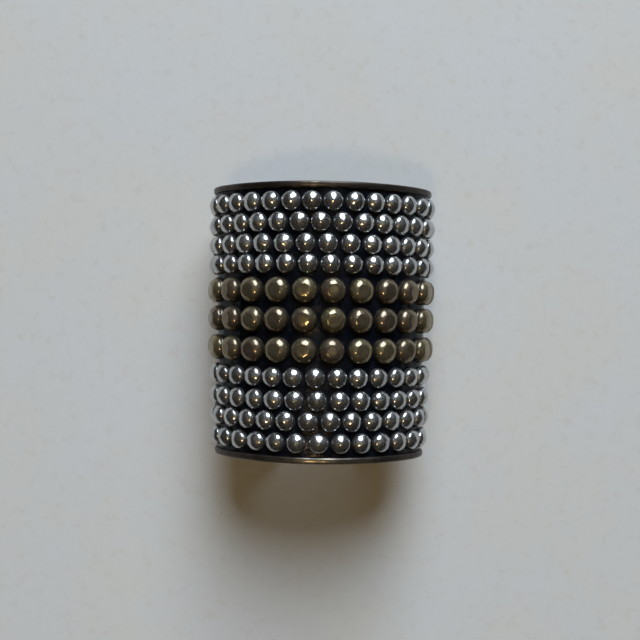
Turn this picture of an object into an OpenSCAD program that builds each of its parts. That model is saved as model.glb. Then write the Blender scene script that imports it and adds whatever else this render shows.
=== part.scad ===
/* [Cuff] */
// Length along the wrist, over both rims
cuff_l = 77.5; // [76:0.5:84]
// Half width of the studded face, at mid length
half_w = 30.3; // [30:0.1:33]
// Half depth of the studded face, at mid length
half_d = 22.7; // [22:0.1:25]
// What every radius gains for each millimetre toward the wide end
draft = 0.0192; // [0.016:0.0002:0.022]
// Opening in the back of the cuff, straight across
gap_w = 24; // [20:0.5:24]

/* [Shell] */
// Thickness of the metal wall
wall_t = 1.15; // [0.8:0.05:1.5]
// Thickness of the black backing between the rims
backing_t = 0.8; // [0.5:0.05:1.2]
// Thickness of each rim along the wrist
rim_t = 1.6; // [1.2:0.05:1.8]
// Height of the rims over the backing
rim_h = 0.95; // [0.6:0.05:1.2]
// Radius of the rounded crest of a rim
crest_r = 1; // [0.95:0.05:1.5]
// Thickness of the bar that closes each end at the opening
bar_t = 1.5; // [1:0.1:1.8]
// Clearance between pieces that lie on each other
seat_gap = 0.05; // [0.03:0.01:0.1]

/* [Studs] */
// Diameter of a silver stud
silver_d = 5.4; // [5:0.05:5.5]
// Height of a silver stud
silver_h = 2.15; // [1.8:0.05:2.5]
// Diameter of a bronze stud
bronze_d = 7; // [6.6:0.05:7.1]
// Height of a bronze stud
bronze_h = 2.85; // [2.4:0.05:3]
// Diameter of the flat top of a bronze stud
bronze_flat_d = 4.4; // [4:0.1:5]
// Height of the straight wall under a bronze stud's shoulder
bronze_wall_h = 0.9; // [0.6:0.05:1.1]
// How far a stud set by hand strays along its row
stray = 0.1; // [0:0.01:0.12]

/* [Hidden] */

// One row of studs on each line: place along the wrist, pitch, count, shift to the right
WIDE_ROWS = [
    [33.2, 5.86, 24, 0.1],
    [27.5, 5.98, 23, -0.35],
    [21.7, 6.17, 22, -1.4],
    [16.1, 6.19, 22, -0.65]
];
BRONZE_ROWS = [
    [8.9, 7.78, 17, 3.3],
    [0.8, 7.72, 17, 3.25],
    [-7.6, 7.61, 17, 3.2]
];
NARROW_ROWS = [
    [-15.1, 6.02, 22, 1.65],
    [-21.4, 6.11, 21, -0.7],
    [-27.1, 6.1, 22, -0.1],
    [-33.1, 6.02, 21, -0.1]
];

// The section is an oval of four arcs, wide ones at front and back and tight ones at the sides.
// Their centres stand 3 and 4 steps off the middle, so a wide radius is 5 steps more than a tight one.
step = (half_w - half_d) / 2;
front_y = 3 * step;
side_x = 4 * step;
side_r = half_w - side_x;
front_r = side_r + 5 * step;
join_a = atan2(side_x, front_y);
side_a = 180 - 2 * join_a;
draft_a = atan(draft);

// Depths of the layers, counted from the outer face of the backing
backing_in = -backing_t;
wall_out = backing_in - seat_gap;
wall_in = wall_out - wall_t;
wall_break = 0.3;
bar_drop = 0.1;
end_z = cuff_l / 2;
rim_z = end_z - rim_t;
crest_z = end_z - rim_t / 2;
root_h = 0.6;

// Shape of a silver stud: a cap of a ball, a little less than half
silver_r = silver_d / 2;
silver_ball_r = (silver_r * silver_r + silver_h * silver_h) / (2 * silver_h);
// Shape of a bronze stud: a ball's shoulder between the straight wall and the flat top
bronze_r = bronze_d / 2;
bronze_flat_r = bronze_flat_d / 2;
bronze_ball_z = (bronze_r * bronze_r + bronze_wall_h * bronze_wall_h
    - bronze_flat_r * bronze_flat_r - bronze_h * bronze_h) / (2 * (bronze_wall_h - bronze_h));
bronze_ball_r = norm([bronze_flat_r, bronze_h - bronze_ball_z]);

// The four arcs: centre x, centre y, radius, and the way that the arc faces along x and y
ARCS = [
    [0, front_y, front_r, 0, -1],
    [0, -front_y, front_r, 0, 1],
    [side_x, 0, side_r, 1, 0],
    [-side_x, 0, side_r, -1, 0]
];
far = 4;
tall = cuff_l;

// Radius of an arc at the height z along the wrist, the wide end at the top
function grown(r, z) = r + draft * z;

// Lengths along the surface, at the height z, of half a wide arc and of a tight arc
function wide_s(z) = grown(front_r, z) * join_a * PI / 180;
function tight_s(z) = grown(side_r, z) * side_a * PI / 180;

// Turn of the surface away from the front, after going s along it at the height z
function turn(s, z) =
    let (u = abs(s), wide = wide_s(z), tight = tight_s(z))
    sign(s) * (u < wide ? u / wide * join_a
        : u < wide + tight ? join_a + (u - wide) / tight * side_a
        : 180 - join_a + (u - wide - tight) / wide * join_a);

// Distance along the surface from s to the nearer join of a wide and a tight arc
function from_join(s, z) = min(abs(abs(s) - wide_s(z)), abs(abs(s) - wide_s(z) - tight_s(z)));

function on_side(a) = abs(a) > join_a && abs(a) < 180 - join_a;
function centre(a) = on_side(a) ? [sign(a) * side_x, 0] : [0, abs(a) < 90 ? front_y : -front_y];
function reach(a, z) = grown(on_side(a) ? side_r : front_r, z);

// Places of the studs of a row along the surface, each a little off its mark
function places(row) = [for (i = [0 : row[2] - 1])
    row[3] + row[1] * (i - (row[2] - 1) / 2) + stray * sin(97 * i + 61 * row[0])];

// How far down a bronze stud at the turn a reaches, when the cuff lies on its back
function foot(a, z) =
    let (b = 180 - abs(a), c = centre(a))
    c[1] + (reach(a, z) + bronze_h) * cos(b) + bronze_flat_r * sin(b);
foot_row = BRONZE_ROWS[1];
foot_a = 180 - turn(max(places(foot_row)), foot_row[0]);
lie_a = draft_a * cos(foot_a);
lie_z = max([for (row = BRONZE_ROWS, s = places(row))
    foot(turn(s, row[0]), row[0]) * cos(lie_a) - row[0] * sin(lie_a)]);

// The cuff is drawn round an upright axis, then laid on its back with the wide end toward +Y
module lying() {
    translate([0, 0, lie_z]) rotate([lie_a, 0, 0]) rotate([-90, 0, 0]) children();
}

// Wedge of space that one arc fills, its two sides running through the centres of its neighbours
module wedge(arc) {
    c = [arc[0], arc[1]];
    one = [arc[3] == 0 ? side_x : arc[3] * side_x, arc[4] == 0 ? front_y : arc[4] * front_y];
    two = [arc[3] == 0 ? -side_x : arc[3] * side_x, arc[4] == 0 ? -front_y : arc[4] * front_y];
    out = [arc[3], arc[4]] * far * half_w;
    translate([0, 0, -tall]) linear_extrude(2 * tall)
        polygon([c, c + far * one, c + far * one + out, c + far * two + out, c + far * two]);
}

// Carries a radial profile round the oval; $r is the radius that the profile starts from
module around() {
    for (arc = ARCS) intersection() {
        translate([arc[0], arc[1], 0])
            rotate_extrude($fn = 240) let ($r = arc[2]) children();
        wedge(arc);
    }
}

// The same, open at the back by the given width
module around_open(width) {
    difference() {
        around() children();
        translate([-width / 2, 0, -tall]) cube([width, 2 * half_d, 2 * tall]);
    }
}

// A band of the profile between two depths and two heights, its walls following the draft
module band(n0, n1, z0, z1) {
    polygon([
        [grown($r, z0) + n0, z0], [grown($r, z0) + n1, z0],
        [grown($r, z1) + n1, z1], [grown($r, z1) + n0, z1]
    ]);
}

// Metal wall with its inner corners broken, before the rims
module wall_profile() {
    polygon([
        [grown($r, -end_z) + wall_in + wall_break, -end_z],
        [grown($r, -end_z) + wall_out, -end_z],
        [grown($r, end_z) + wall_out, end_z],
        [grown($r, end_z) + wall_in + wall_break, end_z],
        [grown($r, end_z) + wall_in, end_z - wall_break],
        [grown($r, -end_z) + wall_in, -end_z + wall_break]
    ]);
}

// One rim, standing up from the wall to a rounded crest
module rim_profile(side) {
    foot_r = grown($r, side * crest_z);
    translate([foot_r + wall_out - seat_gap, side * crest_z - rim_t / 2])
        square([-wall_out + seat_gap, rim_t]);
    intersection() {
        translate([foot_r - seat_gap, side * crest_z - rim_t / 2])
            square([rim_h + 2 * seat_gap, rim_t]);
        translate([foot_r + rim_h - crest_r, side * crest_z])
            circle(crest_r, $fn = 64);
    }
}

module channel_profile() {
    wall_profile();
    rim_profile(1);
    rim_profile(-1);
}

// A bar across each end of the shell, as high as the rims, between the opening and the backing
module end_bars() {
    intersection() {
        translate([0, -front_y, 0]) rotate_extrude($fn = 240) let ($r = front_r) {
            channel_profile();
            band(wall_out - seat_gap, rim_h - bar_drop, -crest_z, crest_z);
        }
        for (side = [0, 1]) mirror([side, 0, 0])
            translate([gap_w / 2, 0, -tall]) cube([bar_t, 2 * half_d, 2 * tall]);
    }
}

module metal_shell() {
    color([0.3, 0.24, 0.19]) lying() {
        around_open(gap_w + 2 * bar_t) channel_profile();
        end_bars();
    }
}

module black_backing() {
    color([0.05, 0.05, 0.06]) lying()
        around_open(gap_w + 2 * bar_t + 2 * seat_gap)
            band(backing_in, 0, -rim_z + seat_gap, rim_z - seat_gap);
}

// Cone of the arc under a stud, which shapes its foot to the surface. On a tight arc, a stud
// that reaches over the join stands a hair higher, so that it clears the flatter wide arc.
module bed(s, z, r) {
    a = turn(s, z);
    c = centre(a);
    over = on_side(a) ? max(0, r - from_join(s, z)) : 0;
    lift = seat_gap + over * over * (1 / side_r - 1 / front_r) / 2;
    translate([c[0], c[1], z - 2 * r])
        cylinder(h = 4 * r, r1 = reach(a, z - 2 * r) + lift, r2 = reach(a, z + 2 * r) + lift, $fn = 240);
}

// Stands its child on the surface, at s along the row and z along the wrist
module seated(s, z) {
    a = turn(s, z);
    c = centre(a);
    translate([c[0], c[1], z])
        rotate([0, 0, 270 + a])
            translate([reach(a, z), 0, 0])
                rotate([0, 90 + draft_a, 0]) children();
}

// Ball cap on a short root that reaches the surface
module silver_stud() {
    rotate_extrude($fn = 48) intersection() {
        translate([0, silver_h - silver_ball_r]) circle(silver_ball_r, $fn = 96);
        translate([0, -root_h]) square([silver_r, silver_h + 2 * root_h]);
    }
}

// Straight wall, rounded shoulder and flat top
module bronze_stud() {
    rotate_extrude($fn = 48) intersection() {
        translate([0, bronze_ball_z]) circle(bronze_ball_r, $fn = 96);
        translate([0, -root_h]) square([bronze_r, bronze_h + root_h]);
    }
}

module field(rows, r) {
    for (row = rows, s = places(row)) difference() {
        seated(s, row[0]) children();
        bed(s, row[0], r);
    }
}

module silver_studs_wide() {
    color([0.5, 0.51, 0.53]) lying() field(WIDE_ROWS, silver_r) silver_stud();
}

module bronze_studs() {
    color([0.42, 0.37, 0.27]) lying() field(BRONZE_ROWS, bronze_r) bronze_stud();
}

module silver_studs_narrow() {
    color([0.5, 0.51, 0.53]) lying() field(NARROW_ROWS, silver_r) silver_stud();
}

metal_shell();
black_backing();
silver_studs_wide();
bronze_studs();
silver_studs_narrow();
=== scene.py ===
# %% [markdown]
# # A studded cuff bangle
# The bangle is a stiff oval cuff of dark bronze, with a rolled rim at each end, a glossy black backing
# between the rims and eleven rows of studs on it: four of domed silver, three of flat-topped bronze and
# four of silver again. It lies on its curved side on a stone slab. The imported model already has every
# piece at its real place, so this script only gives each piece its finer shape and its finish.

import bpy
import numpy as np
from mathutils import Euler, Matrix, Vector


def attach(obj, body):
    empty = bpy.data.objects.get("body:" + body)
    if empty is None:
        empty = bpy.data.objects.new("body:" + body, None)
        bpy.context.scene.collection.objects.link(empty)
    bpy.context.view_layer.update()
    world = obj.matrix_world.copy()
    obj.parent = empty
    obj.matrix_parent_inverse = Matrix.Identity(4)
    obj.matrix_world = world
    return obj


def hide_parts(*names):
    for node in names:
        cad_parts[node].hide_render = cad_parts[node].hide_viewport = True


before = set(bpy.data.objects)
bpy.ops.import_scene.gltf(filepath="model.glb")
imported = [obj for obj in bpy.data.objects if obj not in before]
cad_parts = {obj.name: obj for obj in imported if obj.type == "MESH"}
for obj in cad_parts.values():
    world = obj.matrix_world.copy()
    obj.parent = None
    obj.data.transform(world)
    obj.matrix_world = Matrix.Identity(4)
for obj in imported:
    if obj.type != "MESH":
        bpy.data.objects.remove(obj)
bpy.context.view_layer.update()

print("nodes:", sorted(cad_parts))

# %% [markdown]
# ## The oval
# Seen along the wrist the cuff is an oval of four arcs: a wide arc at the front, one at the back, and a
# tight one at each side. The centres stand three and four steps off the middle, which makes a triangle
# with sides 3, 4 and 5, so the arcs meet without a kink. Every radius grows a little toward the wide
# end. These are the same sizes as the solids have, here in metres.

# %% Sizes of the oval
half_width, half_depth = 0.0303, 0.0227
draft = 0.0192
step = (half_width - half_depth) / 2
front_y, side_x = 3 * step, 4 * step
side_r = half_width - side_x
front_r = side_r + 5 * step
join_turn = np.arctan2(side_x, front_y)
side_turn = np.pi - 2 * join_turn
lean = np.arctan(draft)
print(f"arcs of {front_r * 1e3:.1f} and {side_r * 1e3:.1f} mm,",
      f"joined at {np.degrees(join_turn):.1f} degrees")


# %% Where a place on the surface is
def arc_lengths(z):
    """Half a wide arc is its radius times the join's turn, a tight arc its radius times its own turn."""
    return (front_r + draft * z) * join_turn, (side_r + draft * z) * side_turn


def turn_at(s, z):
    """Turn away from the front after going s round the cuff: the share of each arc that s covers times
    that arc's turn, added up from arc to arc."""
    wide, tight = arc_lengths(z)
    u = np.abs(s)
    turn = np.where(u < wide, u / wide * join_turn,
                    np.where(u < wide + tight, join_turn + (u - wide) / tight * side_turn,
                             np.pi - join_turn + (u - wide - tight) / wide * join_turn))
    return np.copysign(turn, s)


def arc_at(turn, z):
    """Centre and radius of the arc that the turn falls on: the tight arcs lie between the two joins."""
    side = (np.abs(turn) > join_turn) & (np.abs(turn) < np.pi - join_turn)
    cx = np.where(side, np.copysign(side_x, turn), 0.0)
    cy = np.where(side, 0.0, np.where(np.abs(turn) < np.pi / 2, front_y, -front_y))
    return cx, cy, np.where(side, side_r, front_r) + draft * z


# %% [markdown]
# The cuff was drawn standing on its narrow end and then laid on its back. Its taper tips it by about a
# degree, so the wide end is a little higher. One small function does that turn for points and
# directions alike, and everything below goes through it.

# %% Lay the cuff on its back
lie_sin = 0.0166759
lie_cos = np.sqrt(1 - lie_sin**2)
lie_z = 0.0217846


def laid(x, y, z, lift=lie_z):
    """The upright z runs to +Y, the upright -y to +Z, and both turn by the small lying angle."""
    return np.stack([x + 0 * z, z * lie_cos + y * lie_sin, lift + z * lie_sin - y * lie_cos], -1)


def on_cuff(s, z, height):
    """Arc centre plus (radius + height) times the outward direction at the turn of s."""
    turn = turn_at(s, z)
    cx, cy, radius = arc_at(turn, z)
    return laid(cx + (radius + height) * np.sin(turn), cy - (radius + height) * np.cos(turn), z + 0 * s)


middle = on_cuff(np.array(0.0), np.array(0.0), 0.0)
print("front of the cuff at mid length:", np.round(middle * 1e3, 2), "mm")

# %% [markdown]
# ## The rows of studs
# Each row keeps its own pitch and its own shift round the cuff, because the studs were set by hand. A
# sine that turns by 97 degrees from stud to stud strays each of them by up to a tenth of a millimetre.
# The numbers of a row are its place along the wrist, pitch, count and shift, in millimetres.

# %% Rows
wide_rows = [(33.2, 5.86, 24, 0.1), (27.5, 5.98, 23, -0.35),
             (21.7, 6.17, 22, -1.4), (16.1, 6.19, 22, -0.65)]
bronze_rows = [(8.9, 7.78, 17, 3.3), (0.8, 7.72, 17, 3.25), (-7.6, 7.61, 17, 3.2)]
narrow_rows = [(-15.1, 6.02, 22, 1.65), (-21.4, 6.11, 21, -0.7),
               (-27.1, 6.1, 22, -0.1), (-33.1, 6.02, 21, -0.1)]
stray, stud_turn, place_turn = 0.1, 97, 61


def row_places(row):
    """Shift plus pitch times the number counted from the middle, plus the stray of that stud."""
    place, pitch, count, shift = row
    i = np.arange(count)
    phase = np.radians(stud_turn * i + place_turn * place)
    s = shift + pitch * (i - (count - 1) / 2) + stray * np.sin(phase)
    return s * 1e-3, np.full(count, place * 1e-3)


def stud_frames(rows):
    """For every stud its foot on the surface, its outward axis, one direction round the cuff, one along
    it, and the curvature of its arc. The axis leans back by the draft, which is square to the wall."""
    s, z = np.concatenate([row_places(row) for row in rows], 1)
    turn = turn_at(s, z)
    radius = arc_at(turn, z)[2]
    sin, cos, flat = np.sin(turn), np.cos(turn), 0 * turn
    axis = laid(sin * np.cos(lean), -cos * np.cos(lean), flat - np.sin(lean), lift=0)
    around = laid(cos, sin, flat, lift=0)
    along = laid(sin * np.sin(lean), -cos * np.sin(lean), flat + np.cos(lean), lift=0)
    return on_cuff(s, z, 0.0), axis, around, along, 1 / radius


print("studs:", [sum(row[2] for row in rows) for rows in (wide_rows, bronze_rows, narrow_rows)])

# %% [markdown]
# ## From numbers to meshes
# Every mesh here is a tube: rings of points, each ring a closed loop of the same number of columns, and
# one flat face over each open end. A stud is a tube that narrows to its crown, and the shell is a long
# tube bent round the oval. The faces are worked out as whole arrays too, so nothing loops over points.


# %% Mesh helpers
def tube_faces(rings, columns, caps=True):
    """Quads between neighbouring rings. They face outward when each ring runs clockwise, seen by
    somebody who looks back from the last ring. The caps are the first ring and the last one reversed."""
    ring, column = np.meshgrid(np.arange(rings - 1), np.arange(columns), indexing="ij")
    a, b = ring * columns + column, ring * columns + (column + 1) % columns
    faces = np.stack([a, a + columns, b + columns, b], -1).reshape(-1, 4).tolist()
    if caps:
        faces += [np.arange(columns).tolist(), (rings * columns - 1 - np.arange(columns)).tolist()]
    return faces


crease = np.radians(55)


def put_piece(name, points, faces, node, attributes):
    """Makes the mesh, smooths it except where it folds by more than the crease angle, stores one number
    a point for each attribute and hands the piece to the frame."""
    mesh = bpy.data.meshes.new(name)
    mesh.from_pydata(points.reshape(-1, 3).tolist(), [], faces)
    mesh.polygons.foreach_set("use_smooth", np.ones(len(mesh.polygons), bool))
    for key, values in attributes.items():
        numbers = mesh.attributes.new(key, "FLOAT", "POINT")
        numbers.data.foreach_set("value", values.astype(np.float32).ravel())
    mesh.update()
    mesh.set_sharp_from_angle(angle=crease)
    piece = bpy.data.objects.new(name, mesh)
    bpy.context.scene.collection.objects.link(piece)
    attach(piece, "root")
    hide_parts(node)
    print(f"{name}: {len(mesh.vertices)} points, {len(mesh.polygons)} faces")
    return piece


# %% [markdown]
# ## A field of studs
# Both kinds of stud are the same sort of surface: rings of a given radius and height round an axis, from
# the crown down to the foot. One function stands a whole field of them on the cuff at once. The last
# ring follows the curve of the backing, so no stud floats at its edges.

# %% Stand studs on the cuff
chance = np.random.default_rng(11)
sink = 0.00006


def put_field(name, rows, node, top, radius, height, phi):
    """Point = foot + radius cos phi around + radius sin phi along + height axis. The foot ring drops by
    half the square of its reach round the cuff times the curvature, and sinks a hair into the backing.
    The attribute rise is a point's height as a share of the crown's, and each stud draws its own lot."""
    foot, axis, around, along, curve = (a[:, None, None] for a in stud_frames(rows))
    count, rings, columns = radius.shape
    x, y = radius * np.cos(phi), radius * np.sin(phi)
    height[:, -1] = -sink - x[:, -1] ** 2 * curve[:, 0] / 2
    sides = foot + x[..., None] * around + y[..., None] * along + height[..., None] * axis
    crown = foot[:, 0] + top * axis[:, 0]
    points = np.concatenate([crown, sides.reshape(count, -1, 3)], 1)
    rise = np.concatenate([np.ones((count, 1)), height.reshape(count, -1) / top], 1)
    lot = np.repeat(chance.uniform(0, 1, (count, 1)), points.shape[1], 1)
    c = np.arange(columns)
    fan = np.stack([0 * c, 1 + c, 1 + (c + 1) % columns], -1)
    bands = 1 + np.array(tube_faces(rings, columns, caps=False))
    under = (rings * columns - c)[None]
    start = np.arange(count)[:, None, None] * points.shape[1]
    faces = [face for part in (fan, bands, under)
             for face in (start + part).reshape(-1, part.shape[1]).tolist()]
    return put_piece(name, points, faces, node, {"rise": rise, "lot": lot})


# %% [markdown]
# ## Domed silver studs
# A domed stud is pressed from sheet. A ball would mirror the sky as an oval, but the real highlight is a
# drop that points at the middle of the stud, so the dome has a soft point at its crown, an even flank
# and a tight edge over a short wall. The profile is given by its slopes, because a mirror shows slopes
# and not heights. No two studs are quite alike, so each one gets its own slight tilt and its own
# out-of-round. There are 177 of them, so each has only about a hundred faces and smooth shading.

# %% Domes
silver_r, silver_top, dome_columns = 0.00272, 0.00240, 16
dome_lobes, dome_tilt = 0.012, 0.025
dome_reach = np.array([0.0, 0.1, 0.42, 0.75, 0.93, 1.0])
dome_slopes = np.radians([0, 10, 22.5, 31, 45, 82])
dome_wall = [(0.00280, 0.00016), (0.00282, 0.0)]


def put_domes(name, rows, node):
    """Radius has two and three lobes of about one percent. From ring to ring the dome drops by its way
    outwards times the tangent of the mean slope, and the tilt adds a share of the height."""
    count = sum(row[2] for row in rows)
    spin = chance.uniform(0, 2 * np.pi, (count, 1, 1))
    phi = np.arange(dome_columns) / dome_columns * 2 * np.pi + spin
    lobes = chance.normal(0, dome_lobes, (2, count, 1, 1))
    tilt = chance.normal(0, dome_tilt, (2, count, 1, 1))
    lobed = 1 + lobes[0] * np.cos(2 * phi) + lobes[1] * np.cos(3 * phi)
    falls = np.diff(dome_reach) * silver_r * np.tan((dome_slopes[1:] + dome_slopes[:-1]) / 2)
    dome = silver_top - np.cumsum(falls)
    radius = np.concatenate([silver_r * dome_reach[1:, None] * lobed]
                            + [r * lobed for r, _ in dome_wall], 1)
    height = np.concatenate([dome[:, None] + 0 * lobed]
                            + [h + 0 * lobed for _, h in dome_wall], 1)
    height += radius * (tilt[0] * np.cos(phi) + tilt[1] * np.sin(phi)) * height / silver_top
    return put_field(name, rows, node, silver_top, radius, height, phi)


silver_wide = put_domes("silver_domes_wide", wide_rows, "silver_studs_wide")
silver_narrow = put_domes("silver_domes_narrow", narrow_rows, "silver_studs_narrow")

# %% [markdown]
# ## Flat-topped bronze studs
# A bronze stud is larger and has a flat table with eight sides, a broad shoulder that slopes more and
# more, a straight wall and a thin flange at the foot. The table is an octagon, and the shoulder blends
# it into a circle. The columns of the grid start at a corner of the octagon, so the corners fall on grid
# lines and stay crisp. The studs were set with a side to the rim, give or take a few degrees.

# %% Flat tops
bronze_top, bronze_columns = 0.00283, 32
table_r, table_sides, shoulder_r = 0.00174, 8, 0.00350
table_rings, shoulder_drop = [(0.5, 0.0), (0.95, 0.00002)], 0.00004
table_spread, bronze_turn, bronze_tilt, face_down = 0.025, np.radians(7), 0.03, -0.9
reach_out = np.array([0.0, 0.09, 0.24, 0.4, 0.57, 0.74, 0.89, 1.0])
slopes = np.radians([14, 23, 28, 32, 38, 46, 58, 76])
wall = [(0.00354, 0.0008), (0.00355, 0.00035), (0.00361, 0.00027), (0.00362, 0.0)]


def put_flat_tops(name, rows, node):
    """The octagon's radius is its inner radius over the cosine of the angle from the middle of a side.
    From ring to ring the shoulder drops by its way outwards times the tangent of the mean slope. Studs
    that face the slab are not tilted, so none of them sinks into it."""
    count = sum(row[2] for row in rows)
    calm = np.clip(stud_frames(rows)[1][:, 2] - face_down, 0, 1)[:, None, None]
    c = np.arange(bronze_columns) / bronze_columns * 2 * np.pi
    side = 2 * np.pi / table_sides
    octagon = 1 / np.cos(c % side - side / 2)
    edge = table_r * (1 + octagon - octagon.mean()) * chance.normal(1, table_spread, (count, 1, 1))
    phi = c + side / 2 + chance.normal(0, bronze_turn, (count, 1, 1))
    tilt = chance.normal(0, bronze_tilt, (2, count, 1, 1)) * calm
    falls = np.diff(reach_out) * (shoulder_r - table_r) * np.tan((slopes[1:] + slopes[:-1]) / 2)
    shoulder = bronze_top - shoulder_drop - np.concatenate([[0], np.cumsum(falls)])
    radius = np.concatenate([edge * share for share, _ in table_rings]
                            + [edge + (shoulder_r - edge) * reach_out[:, None]]
                            + [r + 0 * edge for r, _ in wall], 1)
    height = np.concatenate([bronze_top - drop + 0 * edge for _, drop in table_rings]
                            + [shoulder[:, None] + 0 * edge]
                            + [h + 0 * edge for _, h in wall], 1)
    height += radius * (tilt[0] * np.cos(phi) + tilt[1] * np.sin(phi)) * height / bronze_top
    return put_field(name, rows, node, bronze_top, radius, height, phi)


bronze_tops = put_flat_tops("bronze_flat_tops", bronze_rows, "bronze_studs")

# %% [markdown]
# ## The black backing
# The studs stand in a layer of black resin. It was poured and wiped by hand, so its skin is a little
# wavy and catches the light between the studs. The skin is a fine grid, and its height is a sum of a few
# crossing waves.

# %% Where the cuff ends
end_z, rim_z, crest_z = 0.03875, 0.03715, 0.03795
low_rim_z, high_rim_z, high_end_z = 0.0368, 0.0367, 0.0385
gap_x, bar_thick, seat = 0.012, 0.0015, 0.00005
wall_in, wall_out, backing_in, rim_top = -0.0020, -0.00085, -0.0008, 0.00095


def arc_to(x, z, height):
    """On the back arc the plane x is met at the turn whose sine is x over the radius, so the arc length
    is a whole wide half, a tight arc, and what is left of the second wide half."""
    wide, tight = arc_lengths(z)
    return wide * (2 - np.arcsin(x / (front_r + draft * z + height)) / join_turn) + tight


# %% Skin of the resin
skin_columns, skin_rings = 120, 300
skin_waves, skin_height, skin_lengths = 6, 0.00002, (0.003, 0.007)


def ripples(s, z, waves):
    """Sum of sines. Each line of waves is a height, a wavelength, a direction and a phase."""
    return sum(h * np.sin(2 * np.pi / length * (s * np.cos(way) + z * np.sin(way)) + phase)
               for h, length, way, phase in waves)


def put_backing():
    """One ring of the tube is the skin from the narrow to the wide edge and back underneath."""
    z = np.linspace(-rim_z + seat, rim_z - seat, skin_columns)[None]
    v = np.linspace(-1, 1, skin_rings)[:, None]
    s = v * arc_to(gap_x + bar_thick + seat, z, 0.0)
    waves = np.stack([np.full(skin_waves, skin_height),
                      chance.uniform(*skin_lengths, skin_waves),
                      chance.uniform(0, np.pi, skin_waves),
                      chance.uniform(0, 2 * np.pi, skin_waves)], -1)
    skin = ripples(s, z, waves)
    under_z = np.array([[rim_z - seat, -rim_z + seat]])
    under_s = v * arc_to(gap_x + bar_thick + seat, under_z, 0.0)
    points = on_cuff(np.concatenate([s, under_s], 1), np.concatenate([z + 0 * v, under_z + 0 * v], 1),
                     np.concatenate([skin, backing_in + 0 * under_s], 1))
    return put_piece("resin_backing", points, tube_faces(*points.shape[:2]),
                     "black_backing", {})


backing = put_backing()

# %% [markdown]
# ## The metal shell
# The shell is a wall of dark bronze with a rolled rim at each end and a bar soldered across each side of
# the opening. Its section is a polygon whose corners are rounded, generously at the crests of the rims,
# where hands have rubbed them. The section is carried round the oval, and the crests wander by a few
# hundredths of a millimetre as a rolled edge does.


# %% Rounded sections
def rounded(corners, steps=6):
    """Each corner is (across, along, radius). A quadratic curve runs from one radius before the corner
    to one radius after it, with the corner itself as its middle point."""
    p = np.array([c[:2] for c in corners], float)
    r = np.array([c[2] for c in corners], float)[:, None]
    before, after = np.roll(p, 1, 0) - p, np.roll(p, -1, 0) - p
    before /= np.linalg.norm(before, axis=1, keepdims=True)
    after /= np.linalg.norm(after, axis=1, keepdims=True)
    t = np.linspace(0, 1, steps)[:, None, None]
    curve = (1 - t) ** 2 * (p + r * before) + 2 * t * (1 - t) * p + t**2 * (p + r * after)
    return curve.transpose(1, 0, 2).reshape(-1, 2)


# %% Shell and end bars
shell_rings, bar_rings, inner_columns = 300, 40, 14
rim_waves = [(0.00003, 0.011, 0.0, 0.4), (0.00002, 0.0067, 0.0, 2.1), (0.000014, 0.0031, 0.0, 5.0)]
rim_shift, bar_top = 0.004, rim_top - 0.0001
front_share, front_reach, outer_z, outer_wide = 1.15, 0.026, 0.0376, 0.0006
# How much the crests are painted lighter, as wear and as painted highlight: least away from the front
# and on the bars, less on the wide end's rim, and full on the low rim's outer side.
least_wear_and_highlight, high_rim_wear_and_highlight, low_rim_wear_and_highlight = 0.35, 0.6, 0.8


def crest_share(height):
    """0 up to 0.3 mm over the backing's surface, and 1 from 0.85 mm, at the crest of a rim."""
    return np.clip((height - 0.0003) / 0.00055, 0, 1)


def put_shell():
    """Rings of the rounded section, from one side of the opening round the front to the other, and two
    tubes along the wrist for the bars. The attribute is wear on the crests and painted highlight at
    once:
    the share of the crest, most at the front, least at the wide end, and full at the low rim's outer
    side, where the highlights of the rims fall."""
    section = rounded([
        (wall_in, -end_z, 0.0003), (rim_top, -end_z, 0.0008),
        (rim_top, -low_rim_z, 0.0008), (wall_out, -low_rim_z, 0.00005),
        (wall_out, high_rim_z, 0.00005), (rim_top, high_rim_z, 0.0008),
        (rim_top, high_end_z, 0.0006), (wall_in, high_end_z, 0.0003)])
    inner_z = np.linspace(high_end_z, -end_z, inner_columns + 2)[1:-1]
    section = np.concatenate([section, np.stack([np.full(inner_columns, wall_in), inner_z], -1)])
    height, z = section[None, :, 0], section[None, :, 1]
    v = np.linspace(-1, 1, shell_rings)[:, None]
    s = v * arc_to(gap_x, z, height)
    proud = np.clip((height + 0.0003) / 0.001, 0, 1)
    wander = ripples(s + np.sign(z) * rim_shift, z, rim_waves) * proud
    points = [on_cuff(s, z + 0 * s, height + wander)]
    # Painted highlight: the crests are lightest at the front and on the low rim's outer side, where the
    # highlights of the rims fall. The crest share is also wear.
    front = np.clip(front_share - np.abs(s) / front_reach, 0, 1)
    outer = np.clip((np.abs(z) - outer_z) / outer_wide, 0, 1)
    crest = crest_share(height + wander) * (least_wear_and_highlight + (1 - least_wear_and_highlight) * front)
    rub = [crest * np.where(z > 0, high_rim_wear_and_highlight, low_rim_wear_and_highlight + (1 - low_rim_wear_and_highlight) * outer)]
    faces = tube_faces(*points[0].shape[:2])
    bar = rounded([(gap_x, wall_in, 0.0004), (gap_x, bar_top, 0.0005),
                   (gap_x + bar_thick, bar_top, 0.0005), (gap_x + bar_thick, wall_in, 0.0002)])
    x, height = bar[None, :, 0], bar[None, :, 1]
    z = np.linspace(-crest_z, crest_z, bar_rings)[:, None]
    for side in (1, -1):
        s = side * arc_to(x, z, height)
        part = on_cuff(s, z + 0 * x, height + 0 * z)[:, ::side]
        start = sum(p.size // 3 for p in points)
        faces += [[start + i for i in f] for f in tube_faces(*part.shape[:2])]
        points.append(part)
        rub.append((crest_share(height) * least_wear_and_highlight + 0 * z)[:, ::side])
    flat = np.concatenate([p.reshape(-1, 3) for p in points])
    return put_piece("bronze_shell", flat, faces, "metal_shell",
                     {"rub": np.concatenate([r.ravel() for r in rub])})


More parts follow.
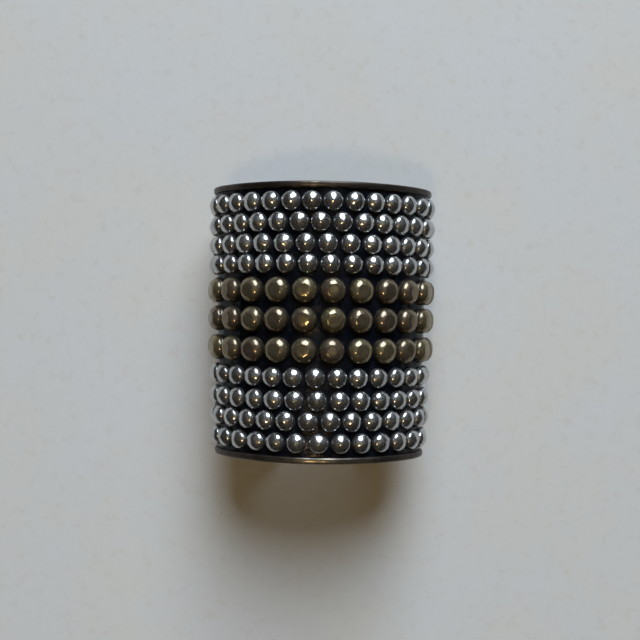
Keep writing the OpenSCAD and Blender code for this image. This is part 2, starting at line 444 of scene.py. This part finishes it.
shell = put_shell()

# %% [markdown]
# ## Shader maths as Python
# A Blender material is a small program, and wiring it node by node hides what it computes. This class
# wraps one output of a node, so that a sum or product of two of them adds the Math node by itself. Any
# other node comes from one call that takes the node's type, its settings and its inputs.


# %% Shader helpers
class Signal:
    """A value that varies over a surface. Arithmetic on it adds Math nodes to the same tree."""

    def __init__(self, tree, socket):
        self.tree, self.socket = tree, socket

    def node(self, kind, settings=None, inputs=None, output=0):
        """Adds one node: settings first, then a number, a colour or another signal on each input."""
        made = self.tree.nodes.new(kind)
        for key, value in (settings or {}).items():
            if key == "stops":
                ramp = made.color_ramp.elements
                ramp.remove(ramp[1])
                ramp[0].position, ramp[0].color = value[0][0], (*value[0][1], 1)
                for place, colour in value[1:]:
                    ramp.new(place).color = (*colour, 1)
            else:
                setattr(made, key, value)
        for key, value in (inputs or {}).items():
            if isinstance(value, Signal):
                self.tree.links.new(value.socket, made.inputs[key])
            else:
                made.inputs[key].default_value = value
        return Signal(self.tree, made.outputs[output] if made.outputs else None)

    def math(self, operation, *values):
        """Adds one Math node with these values on its inputs, in order."""
        return self.node("ShaderNodeMath", {"operation": operation}, dict(enumerate(values)))

    def __add__(self, other):
        return self.math("ADD", self, other)

    def __sub__(self, other):
        return self.math("SUBTRACT", self, other)

    def __mul__(self, other):
        return self.math("MULTIPLY", self, other)

    def __rsub__(self, other):
        return self.math("SUBTRACT", other, self)

    __radd__, __rmul__ = __add__, __mul__

    def fade(self, low, high):
        """0 below low, 1 above high, and an even rise between them."""
        return self.node("ShaderNodeMapRange", {"interpolation_type": "SMOOTHSTEP"},
                         {"Value": self, "From Min": low, "From Max": high})

    def tint(self, low, high):
        """The first colour at 0, the second at 1. Either may be a signal too."""
        pair = [c if isinstance(c, Signal) else (*c, 1) for c in (low, high)]
        return self.node("ShaderNodeMix", {"data_type": "RGBA"}, {0: self, 6: pair[0], 7: pair[1]}, 2)


def start_material(name):
    """An empty material, and the place on the object in metres as the first signal of its tree."""
    material = bpy.data.materials.new(name)
    material.use_nodes = True
    tree = material.node_tree
    tree.nodes.clear()
    place = Signal(tree, None).node("ShaderNodeTexCoord", output=3)
    return material, place


def finish_material(material, place, inputs):
    """Connects one Principled shader with these inputs."""
    surface = place.node("ShaderNodeBsdfPrincipled", None, inputs)
    place.node("ShaderNodeOutputMaterial", None, {"Surface": surface})
    return material


def noise(place, size, detail=2.0, roughness=0.5):
    """Noise whose blotches are about this size in metres, from 0 to 1."""
    return place.node("ShaderNodeTexNoise", None,
                      {"Vector": place, "Scale": 1 / size, "Detail": detail, "Roughness": roughness})


def stored(place, name):
    """One of the numbers stored on the points of the mesh."""
    return place.node("ShaderNodeAttribute", {"attribute_name": name}, output=2)


def bumps(place, height, depth):
    """Tilts the normal as if the surface rose by this depth in metres where the height is 1."""
    return place.node("ShaderNodeBump", None, {"Height": height, "Distance": depth, "Strength": 1.0})


# %% [markdown]
# ## Polished silver
# The domes are plated a dark, cool silver and polished. What makes them look real is mostly the room
# that they mirror, so the finish itself is quiet: a base colour that differs a little from stud to stud,
# painted shade that darkens the colour low on the wall toward the foot, and a skin of very shallow dents
# that breaks the edges of the reflections. A grain finer than a tenth of a millimetre is dull and the
# rest is sharp, which gives every highlight a clear core and a faint haze.

# %% Polished silver
silver_grain, bronze_grain = 0.00007, 0.00008


def polished_silver():
    """The mask grows with the height on the dome. Low on the wall it darkens the colour as painted
    shade, and higher up it sharpens the shine.
    """
    material, place = start_material("polished_silver")
    lot, rise = stored(place, "lot"), stored(place, "rise")
    # Painted shade: the colour darkens low on the wall, toward the foot, where the studs stand close.
    up_the_stud = rise.fade(0.24, 0.44) * (0.8 + 0.2 * noise(place, 0.0011).fade(0.3, 0.6))
    silver = lot.tint((0.50, 0.50, 0.505), (0.61, 0.61, 0.61))
    dull = noise(place, silver_grain, 0.0).fade(0.58, 0.66)
    dents = noise(place, 0.0009, 3.0)
    return finish_material(material, place, {
        "Base Color": (0.3 + 0.7 * up_the_stud).tint((0.06, 0.06, 0.06), silver),
        "Metallic": 0.98,
        "Roughness": 0.48 - 0.40 * up_the_stud + 0.40 * dull,
        "Normal": bumps(place, dents, 0.000045)})


for piece in (silver_wide, silver_narrow):
    piece.data.materials.append(polished_silver())

# %% [markdown]
# ## Antique bronze
# The flat tops are the same plating in bronze. Between olive and brown every stud has its own tone, the
# tables are smoother than the shoulders, and the colour deepens toward the foot.

# %% Antique bronze
def antique_bronze():
    """The tone is seven parts the stud's own lot and three parts cloud."""
    material, place = start_material("antique_bronze")
    lot, rise = stored(place, "lot"), stored(place, "rise")
    cloud = noise(place, 0.0016, 3.0)
    tone = (lot * 0.7 + cloud.fade(0.3, 0.7) * 0.3).tint((0.185, 0.14, 0.107), (0.31, 0.262, 0.155))
    up_the_stud = rise.fade(0.1, 0.85)
    table = rise.fade(0.965, 0.99)
    dull = noise(place, bronze_grain, 0.0).fade(0.52, 0.62)
    return finish_material(material, place, {
        "Base Color": up_the_stud.tint((0.10, 0.085, 0.06), tone),
        "Metallic": 0.78,
        "Roughness": 0.12 + 0.34 * (1.0 - 0.8 * table) * dull,
        "Normal": bumps(place, noise(place, 0.0011, 4.0, 0.6), 0.00004)})


bronze_tops.data.materials.append(antique_bronze())

# %% [markdown]
# ## Black resin
# The backing is nearly black with a faint blue cast, glossy where it was left to flow and duller where
# it was wiped.

# %% Black resin
def black_resin():
    """The more a place was wiped, the paler and the rougher it is."""
    material, place = start_material("black_resin")
    wiped = noise(place, 0.0025, 3.0).fade(0.4, 0.7)
    return finish_material(material, place, {
        "Base Color": wiped.tint((0.004, 0.005, 0.009), (0.007, 0.009, 0.014)),
        "Roughness": 0.14 + 0.2 * wiped,
        "IOR": 1.24,
        "Normal": bumps(place, noise(place, 0.0008, 2.0), 0.00006)})


backing.data.materials.append(black_resin())

# %% [markdown]
# ## Rubbed dark bronze with painted highlight
# The shell is a darker bronze with a satin skin. Along the crests of the rims it is painted lighter,
# as wear from hands and as painted highlight, mostly at the front and unevenly, and it is nearly black
# everywhere else.

# %% Rubbed dark bronze with painted highlight
def dark_bronze_wear_and_highlight():
    """A place is painted lighter, as wear and as painted highlight, where the stored share and a slow
    noise add up to enough.
    """
    material, place = start_material("dark_bronze_wear_and_highlight")
    wear_and_highlight_share = (stored(place, "rub") + noise(place, 0.004, 3.0) - 0.5).fade(0.45, 1.1)
    blotch = noise(place, 0.007, 4.0).fade(0.35, 0.65)
    dark = blotch.tint((0.060, 0.048, 0.042), (0.095, 0.076, 0.066))
    return finish_material(material, place, {
        # The lighter colour of the crests is wear and painted highlight at once.
        "Base Color": wear_and_highlight_share.tint(dark, (0.27, 0.235, 0.18)),
        "Metallic": 0.85,
        "Roughness": 0.34 - 0.14 * wear_and_highlight_share + 0.10 * noise(place, 0.0012, 3.0),
        "Normal": bumps(place, noise(place, 0.0009, 4.0), 0.00002)})


shell.data.materials.append(dark_bronze_wear_and_highlight())

# %% [markdown]
# ## Stone slab
# The cuff lies on a pale slab. It is only a stage, so it stays plain: two soft clouds of warm and cool
# grey and a fine fleck, with a satin skin.

# %% Floor
floor_mesh = bpy.data.meshes.new("slab")
reach = 1.5
floor_corners = [(-reach, -reach, 0), (reach, -reach, 0), (reach, reach, 0), (-reach, reach, 0)]
floor_mesh.from_pydata(floor_corners, [], [(0, 1, 2, 3)])
floor = bpy.data.objects.new("slab", floor_mesh)
bpy.context.scene.collection.objects.link(floor)


def pale_stone():
    """Two clouds of grey, a third of the way to brown where the fleck is."""
    material, place = start_material("pale_stone")
    cloud = noise(place, 0.05, 5.0, 0.6).fade(0.35, 0.65)
    fleck = noise(place, 0.004, 6.0, 0.7).fade(0.5, 0.75)
    warm = cloud.tint((0.72, 0.72, 0.72), (0.73, 0.71, 0.67))
    return finish_material(material, place, {
        "Base Color": (fleck * 0.35).tint(warm, (0.60, 0.53, 0.45)),
        "Roughness": 0.55 + 0.1 * cloud,
        "Normal": bumps(place, noise(place, 0.003, 4.0), 0.00005)})


floor_mesh.materials.append(pale_stone())

# %% [markdown]
# ## Light
# A broad patch of cool sky, seen through a window at the far side, gives every stud its highlight and
# the cuff its soft shadow. The strip of glass lower down is narrow, and lengthens the highlight toward
# the edge of the stud. A small warm lamp on the near side gives the second spark and tints the shadow
# brown. A dim patch of ceiling lies where the tables of the middle bronze studs mirror it. Everything
# else is a dim room, nearly black toward the horizon, which keeps the metal dark and puts a dark band
# inside the reflection of the slab.

# %% Lights and room
aim_at = Vector((0, 0, 0.03))


def soft_light(name, aim, distance, size, radiance, colour):
    """An oval of light that faces the middle of the cuff. A lamp's power is its radiance times its area
    times pi."""
    lamp = bpy.data.lights.new(name, "AREA")
    lamp.shape, lamp.size, lamp.size_y = "ELLIPSE", *size
    lamp.energy, lamp.color = radiance * size[0] * size[1] * np.pi**2 / 4, colour
    holder = bpy.data.objects.new(name, lamp)
    bpy.context.scene.collection.objects.link(holder)
    direction = Vector(aim).normalized()
    holder.location = aim_at + direction * distance
    holder.rotation_euler = direction.to_track_quat("Z", "Y").to_euler()
    return holder


soft_light("sky", (0.17, 1.18, 1.0), 3.5, (2.36, 2.70), 8.0, (0.77, 0.875, 0.98))
soft_light("glass", (0.22, 2.0, 1.0), 3.5, (0.9, 2.9), 3.6, (0.80, 0.90, 1.0))
soft_light("lamp", (-0.11, -0.33, 1.0), 1.5, (0.15, 0.15), 38.0, (1.0, 0.71, 0.35))
soft_light("ceiling", (0.21, 0.0, 1.0), 1.5, (0.3, 0.36), 0.45, (1.0, 0.92, 0.66))

bpy.context.scene.view_settings.view_transform = "Standard"
room = bpy.data.worlds.new("room")
bpy.context.scene.world = room
room.use_nodes = True
room.node_tree.nodes.clear()
way = Signal(room.node_tree, None).node("ShaderNodeTexCoord")
upward = way.node("ShaderNodeSeparateXYZ", None, {"Vector": way}, 2)
walls = upward.node("ShaderNodeValToRGB", {"stops": [
    (0.0, (0.008, 0.007, 0.006)), (0.15, (0.012, 0.011, 0.010)), (0.4, (0.057, 0.050, 0.037)),
    (0.86, (0.063, 0.053, 0.036)), (0.95, (0.23, 0.18, 0.10))]}, {"Fac": upward})
shapes = noise(way, 0.25, 3.0).fade(0.4, 0.62)
glow = walls.node("ShaderNodeBackground", None, {"Color": walls, "Strength": 0.15 + 0.7 * shapes})
glow.node("ShaderNodeOutputWorld", None, {"Surface": glow})

# %% [markdown]
# ## Camera
# The picture was taken from straight above, 295 mm over the cuff's axis, with the camera turned by just
# under a degree. A lens of 56.25 mm on a 36 mm sensor gives a focal length of 1000 pixels in a frame of
# 640, so one pixel is 0.295 mm at the axis.

# %% Camera
frame_px, focal_px, stand = 640, 1000, 0.295
off_x, off_y = 0.64, -1.85
nod, turn_right = 0.008176, 0.0159
camera_data = bpy.data.cameras.new("camera")
camera_data.sensor_width = sensor = 36
camera_data.lens = sensor * focal_px / frame_px
camera = bpy.data.objects.new("camera", camera_data)
bpy.context.scene.collection.objects.link(camera)
bpy.context.scene.camera = camera
turned = Euler((nod, 0, 0)).to_matrix() @ Euler((0, 0, turn_right)).to_matrix()
camera.rotation_euler = turned.to_euler()
sight = turned @ Vector((off_x / focal_px, off_y / focal_px, -1))
camera.location = Vector((0, 0, lie_z)) - sight * stand
print("camera at", [round(c * 1e3, 2) for c in camera.location], "mm")
